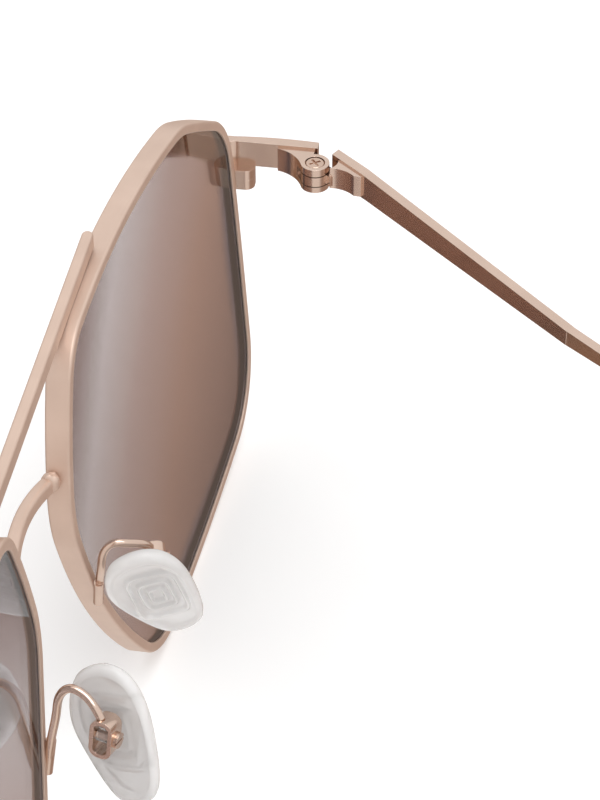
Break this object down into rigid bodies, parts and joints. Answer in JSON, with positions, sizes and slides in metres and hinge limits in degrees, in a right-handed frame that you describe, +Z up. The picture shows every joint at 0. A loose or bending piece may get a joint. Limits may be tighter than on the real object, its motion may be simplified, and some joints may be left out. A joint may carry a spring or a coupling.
{
  "type": "sunglasses",
  "caption": "Metal-rimmed sunglasses with tinted lenses, a brow bar over an arched bridge, screw-on nose pads and folding temples with covered tips.",
  "frame": {"origin": "centre of the overall box on the surface the glasses stand on, rims and temple tips down", "axes": "+X towards the wearer's left, +Y back towards the ears, +Z up along the hinge axes"},
  "size_m": [0.1426, 0.1029, 0.0568],
  "materials": {
    "rose_gold": "satin rose gold plating",
    "screw": "bright plated",
    "lens": "brown grey tint with a mirror coat",
    "tip_acetate": "polished brown acetate",
    "silicone": "frosted clear silicone"
  },
  "bodies": {
    "front": {"right_rim": "rose_gold", "left_rim": "rose_gold", "right_lens": "lens", "left_lens": "lens", "brow_bar": "rose_gold", "lower_bridge": "rose_gold", "right_end_piece": "rose_gold", "right_block_upper": "rose_gold", "right_block_lower": "rose_gold", "right_block_screw": "screw", "right_front_leaf": "rose_gold", "right_hinge_screw": "screw", "right_pad_arm": "rose_gold", "right_pad_box": "rose_gold", "right_pad_screw": "screw", "left_end_piece": "rose_gold", "left_block_upper": "rose_gold", "left_block_lower": "rose_gold", "left_block_screw": "screw", "left_front_leaf": "rose_gold", "left_hinge_screw": "screw", "left_pad_arm": "rose_gold", "left_pad_box": "rose_gold", "left_pad_screw": "screw"},
    "right_temple": {"right_temple": "rose_gold", "right_temple_leaf": "rose_gold", "right_temple_tip": "tip_acetate"},
    "right_pad": {"right_nose_pad": "silicone", "right_pad_core": "rose_gold"},
    "left_temple": {"left_temple": "rose_gold", "left_temple_leaf": "rose_gold", "left_temple_tip": "tip_acetate"},
    "left_pad": {"left_nose_pad": "silicone", "left_pad_core": "rose_gold"}
  },
  "joints": [
    {"name": "right_temple_fold", "type": "hinge", "parent": "front", "child": "right_temple", "pos_m": [-0.0677, -0.0345, 0.03581], "axis": [0, 0, -1], "range_deg": [-41, 49]},
    {"name": "left_temple_fold", "type": "hinge", "parent": "front", "child": "left_temple", "pos_m": [0.0677, -0.0345, 0.03581], "axis": [0, 0, 1], "range_deg": [-41, 45]},
    {"name": "right_pad_rock", "type": "hinge", "parent": "front", "child": "right_pad", "pos_m": [-0.01113, -0.04152, 0.03011], "axis": [-0.2813, 0.9596, -0.0001], "range_deg": [-8, 8]},
    {"name": "left_pad_rock", "type": "hinge", "parent": "front", "child": "left_pad", "pos_m": [0.01113, -0.04152, 0.03011], "axis": [0.2813, 0.9596, -0.0001], "range_deg": [-8, 8]}
  ]
}
